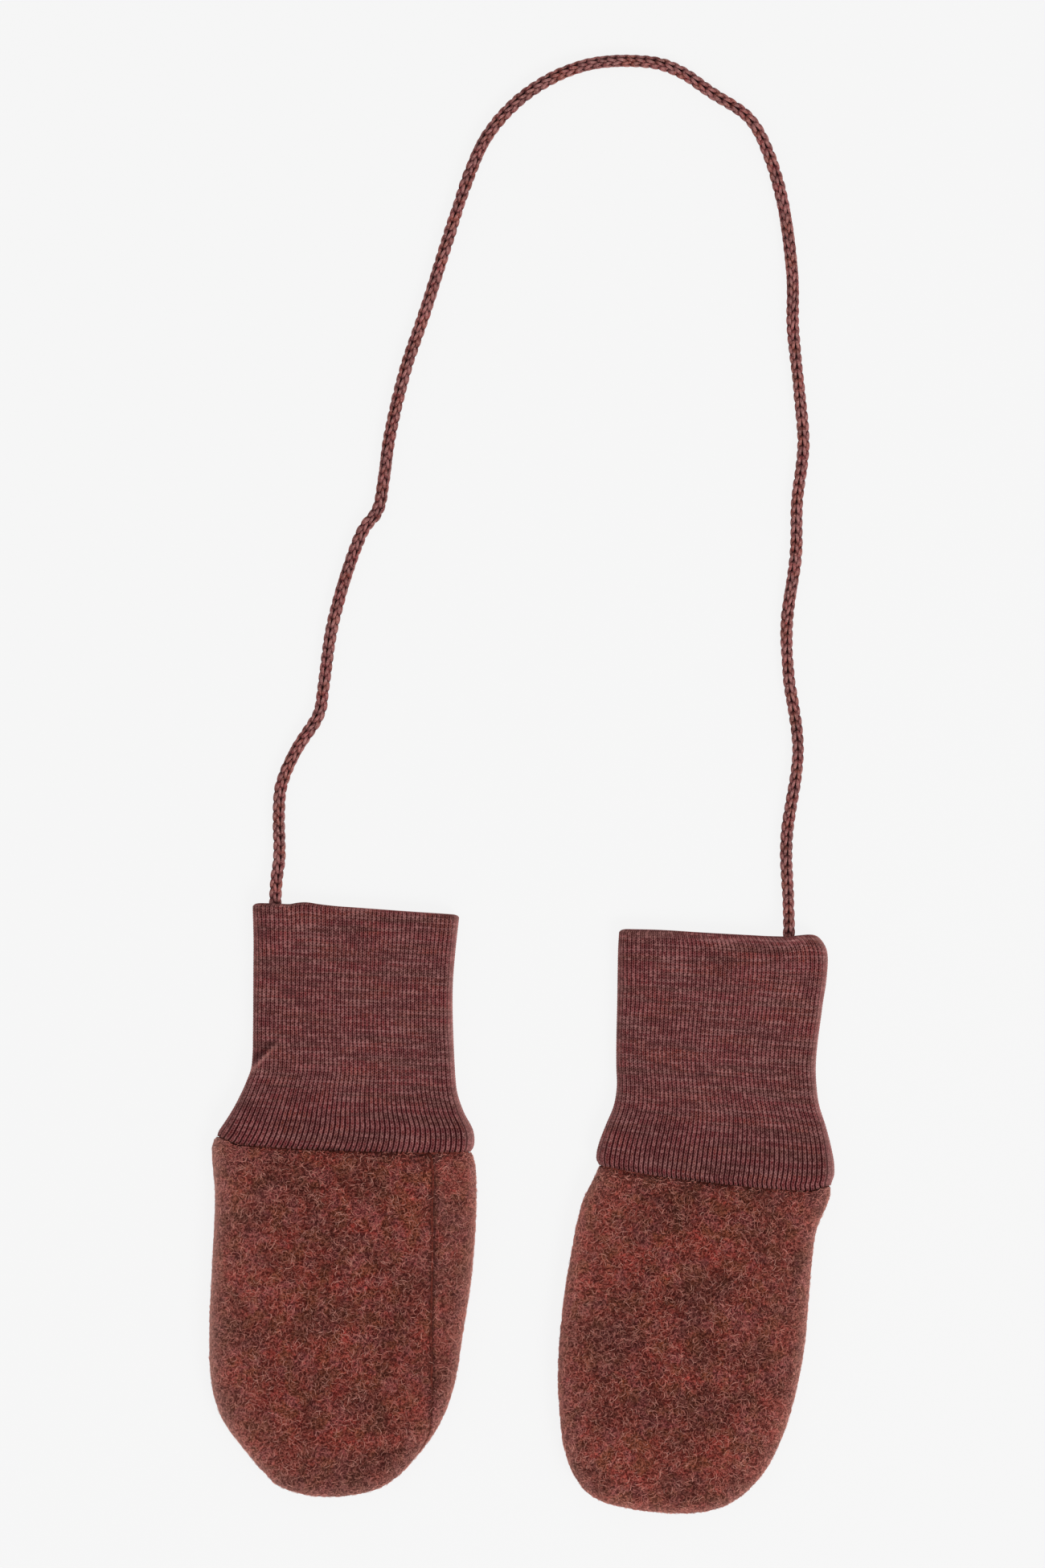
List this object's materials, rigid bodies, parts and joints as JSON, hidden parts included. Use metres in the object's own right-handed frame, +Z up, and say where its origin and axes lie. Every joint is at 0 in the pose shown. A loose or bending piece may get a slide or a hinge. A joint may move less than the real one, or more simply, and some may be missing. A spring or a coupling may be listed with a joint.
{
  "type": "pair of baby mittens",
  "caption": "Pair of thumbless fleece baby mittens with long rib cuffs, joined by one knitted cord and laid flat.",
  "frame": {"origin": "bottom centre of the two mittens' box, on the surface they lie on; the cord is left out of the box", "axes": "+Z up from the surface, +X across the pair from the left mitten to the right one, +Y from the fingertips towards the cuffs and the cord"},
  "size_m": [0.1862, 0.435, 0.0086],
  "materials": {
    "wool_fleece": "boiled melange wool fleece, matt and softly fuzzy, brick red with pinkish grey and brown fibres",
    "rib_knit": "fine heathered wool knit with narrow upright wales, matt",
    "cord_knit": "tubular knitted wool cord, matt"
  },
  "bodies": {
    "root": {"left_hand_back": "wool_fleece", "left_hand_palm": "wool_fleece", "left_cuff": "rib_knit", "right_hand_back": "wool_fleece", "right_hand_palm": "wool_fleece", "right_cuff": "rib_knit", "cord": "cord_knit"}
  },
  "joints": []
}
